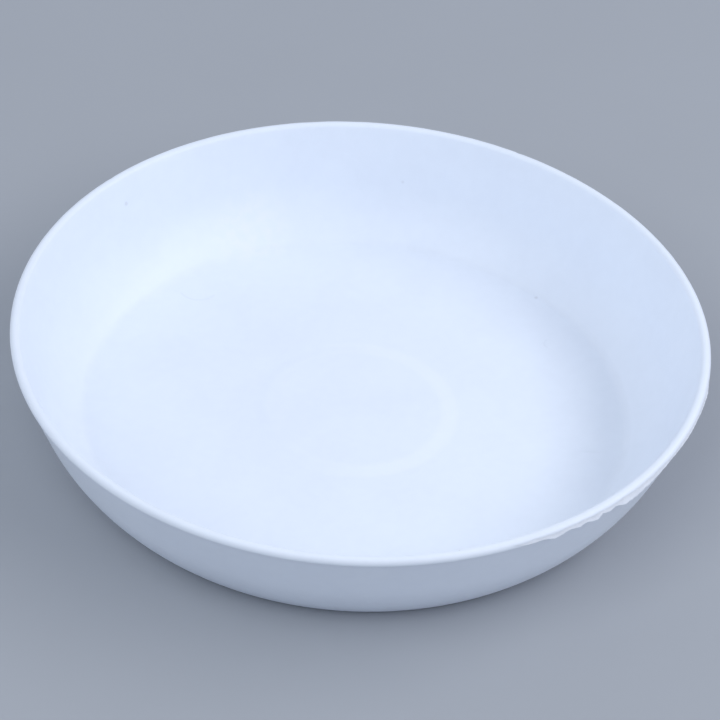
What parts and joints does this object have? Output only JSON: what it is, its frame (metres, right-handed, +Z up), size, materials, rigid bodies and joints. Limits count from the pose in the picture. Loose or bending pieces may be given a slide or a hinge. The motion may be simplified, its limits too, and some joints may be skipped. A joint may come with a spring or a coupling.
{
  "type": "evaporating dish",
  "caption": "Shallow round flat-bottomed evaporating dish in opaque white PTFE, for drying down a sample or solution.",
  "frame": {"origin": "centre of the flat face that the dish stands on", "axes": "+Z up along the dish's axis of revolution, from the standing face to the mouth; +X points about at the right-hand end of the strip of flash"},
  "size_m": [0.15, 0.15, 0.0265],
  "materials": {
    "ptfe": "waxy satin white",
    "ptfe_flash": "torn thin edge of the same white plastic"
  },
  "bodies": {
    "root": {"dish": "ptfe", "rim_flash": "ptfe_flash"}
  },
  "joints": []
}
